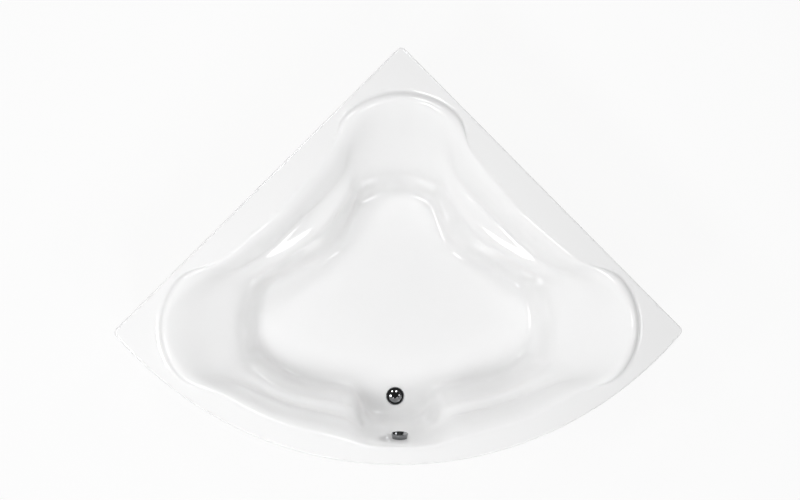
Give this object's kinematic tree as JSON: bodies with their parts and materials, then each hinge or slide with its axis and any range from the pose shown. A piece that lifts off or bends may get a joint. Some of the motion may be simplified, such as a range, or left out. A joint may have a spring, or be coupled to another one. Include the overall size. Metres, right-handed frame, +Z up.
{
  "type": "corner bathtub",
  "caption": "Acrylic corner bathtub with a bowed front, raised headrest lips, armrest ledges, pop-up waste, rotary overflow knob, curved apron and a steel leg frame on levelling feet.",
  "frame": {"origin": "on the floor, below the middle of the outer box", "axes": "+Z up, +Y towards the room corner, +X to the right seen from the bowed front"},
  "size_m": [2.107, 1.5483, 0.6629],
  "materials": {
    "acrylic": "glossy white",
    "laminate": "rough glass fibre",
    "board": "raw chipboard",
    "batten_wood": "raw softwood",
    "frame_steel": "powder coated",
    "zinc_steel": "zinc plated",
    "foot_plastic": "moulded",
    "apron": "glossy white",
    "chrome": "polished",
    "brass": "turned",
    "gasket_rubber": "matt",
    "waste_plastic": "moulded",
    "hose": "satin",
    "cable": "satin",
    "screw_steel": "zinc plated"
  },
  "bodies": {
    "bath": {"acrylic_shell": "acrylic", "apron_brackets": "zinc_steel", "apron_foot_screws": "screw_steel", "apron_top_screws": "screw_steel", "base_board": "board", "board_screws": "screw_steel", "control_cable": "cable", "corner_blocks": "batten_wood", "drain_body": "waste_plastic", "drain_flange": "chrome", "drain_gasket": "gasket_rubber", "flange_gasket": "gasket_rubber", "foot_inserts": "foot_plastic", "foot_lock_nuts": "zinc_steel", "front_apron": "apron", "front_batten_left": "batten_wood", "front_batten_right": "batten_wood", "front_bearer_left": "frame_steel", "front_bearer_right": "frame_steel", "hose_nuts": "waste_plastic", "laminate_backing": "laminate", "main_bearer": "frame_steel", "overflow_body": "waste_plastic", "overflow_gasket": "gasket_rubber", "overflow_hose": "hose", "overflow_rosette": "chrome", "plate_screws": "screw_steel", "post_back": "frame_steel", "post_front_left": "frame_steel", "post_front_right": "frame_steel", "post_left": "frame_steel", "post_right": "frame_steel", "post_top_plates": "frame_steel", "spine_bearer": "frame_steel", "trap_body": "waste_plastic", "trap_cap": "waste_plastic", "trap_coupling": "waste_plastic", "wall_batten_left": "batten_wood", "wall_batten_right": "batten_wood", "wall_hangers_left": "zinc_steel", "wall_hangers_right": "zinc_steel"},
    "foot_back": {"foot_stud_back": "zinc_steel", "foot_pad_back": "foot_plastic"},
    "foot_left": {"foot_stud_left": "zinc_steel", "foot_pad_left": "foot_plastic"},
    "foot_right": {"foot_stud_right": "zinc_steel", "foot_pad_right": "foot_plastic"},
    "foot_front_left": {"foot_stud_front_left": "zinc_steel", "foot_pad_front_left": "foot_plastic"},
    "foot_front_right": {"foot_stud_front_right": "zinc_steel", "foot_pad_front_right": "foot_plastic"},
    "knob": {"overflow_knob": "chrome", "knob_spindle": "brass"},
    "plug": {"plug_cap": "chrome", "plug_seal": "gasket_rubber", "plug_stem": "brass"},
    "rocker": {"lift_rocker": "waste_plastic"}
  },
  "joints": [
    {"name": "overflow_knob_turn", "type": "hinge", "parent": "bath", "child": "knob", "pos_m": [0, -0.68879, 0.525], "axis": [0, 0.9934, 0.1151], "range_deg": [0, 120]},
    {"name": "plug_lift", "type": "slide", "parent": "bath", "child": "plug", "axis": [0, 0, 1], "range_m": [0, 0.01001]},
    {"name": "rocker_tilt", "type": "hinge", "parent": "bath", "child": "rocker", "pos_m": [0, -0.54219, 0.1538], "axis": [-1, 0, 0], "range_deg": [0, 32.27]},
    {"name": "foot_back_level", "type": "slide", "parent": "bath", "child": "foot_back", "axis": [0, 0, -1], "range_m": [-0.02, 0.025]},
    {"name": "foot_left_level", "type": "slide", "parent": "bath", "child": "foot_left", "axis": [0, 0, -1], "range_m": [-0.02, 0.025]},
    {"name": "foot_right_level", "type": "slide", "parent": "bath", "child": "foot_right", "axis": [0, 0, -1], "range_m": [-0.02, 0.025]},
    {"name": "foot_front_left_level", "type": "slide", "parent": "bath", "child": "foot_front_left", "axis": [0, 0, -1], "range_m": [-0.02, 0.025]},
    {"name": "foot_front_right_level", "type": "slide", "parent": "bath", "child": "foot_front_right", "axis": [0, 0, -1], "range_m": [-0.02, 0.025]}
  ],
  "couplings": [
    {"joint": "plug_lift", "follows": "overflow_knob_turn", "m_per_rad": 0.0047746},
    {"joint": "rocker_tilt", "follows": "overflow_knob_turn", "ratio": 0.26879}
  ]
}
